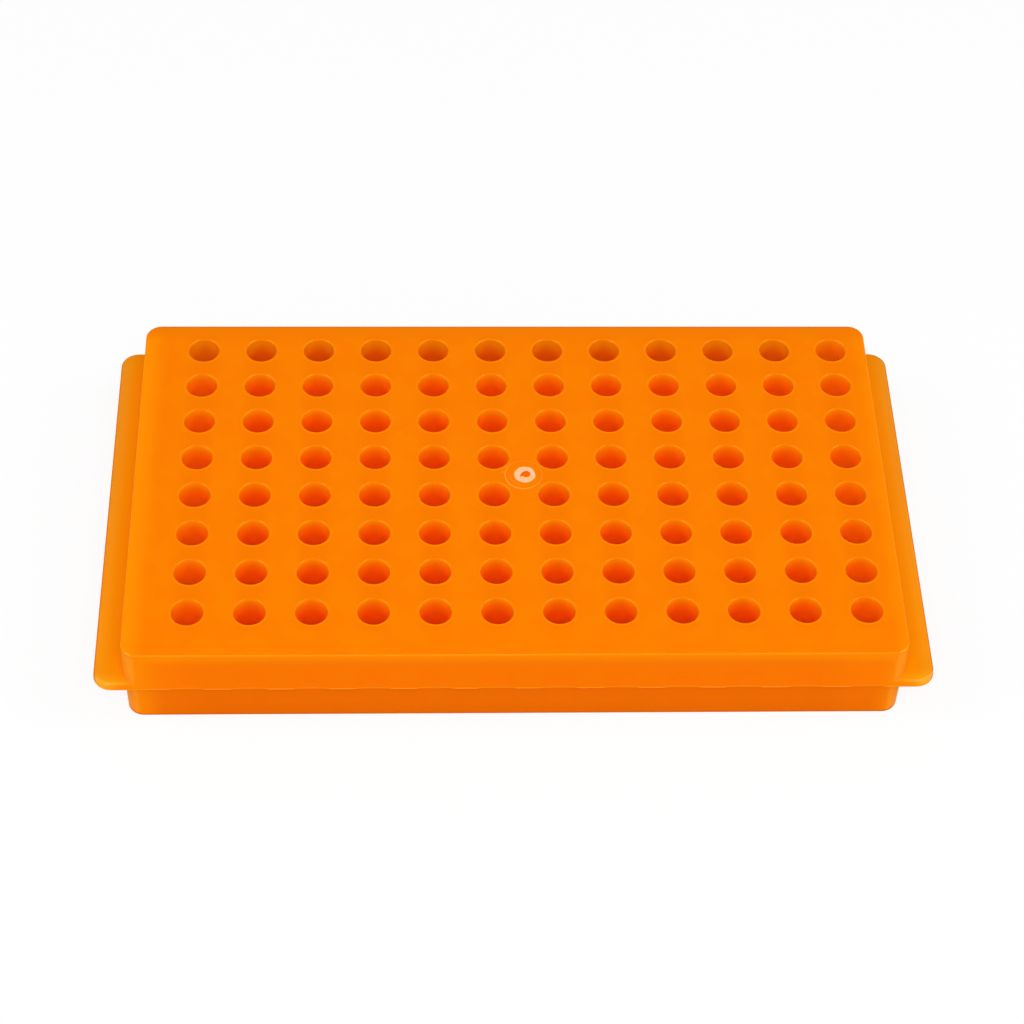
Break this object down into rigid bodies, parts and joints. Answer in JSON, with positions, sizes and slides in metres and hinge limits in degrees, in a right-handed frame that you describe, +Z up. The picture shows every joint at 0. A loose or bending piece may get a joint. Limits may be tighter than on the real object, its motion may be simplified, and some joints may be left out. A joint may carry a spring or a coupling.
{
  "type": "microcentrifuge tube rack",
  "caption": "Reversible one-piece tube rack: flat deck of narrow wells over wide sleeved wells, skirted body with a mid-height handle flange at each end",
  "frame": {"origin": "centre of the footprint on the plane that the rack stands on", "axes": "+X along the columns to the right-hand handle, +Y across the rows to the back, +Z up out of the deck"},
  "size_m": [0.2182, 0.1194, 0.0261],
  "materials": {
    "polypropylene": "satin translucent orange polypropylene"
  },
  "bodies": {
    "root": {"rack": "polypropylene"}
  },
  "joints": []
}
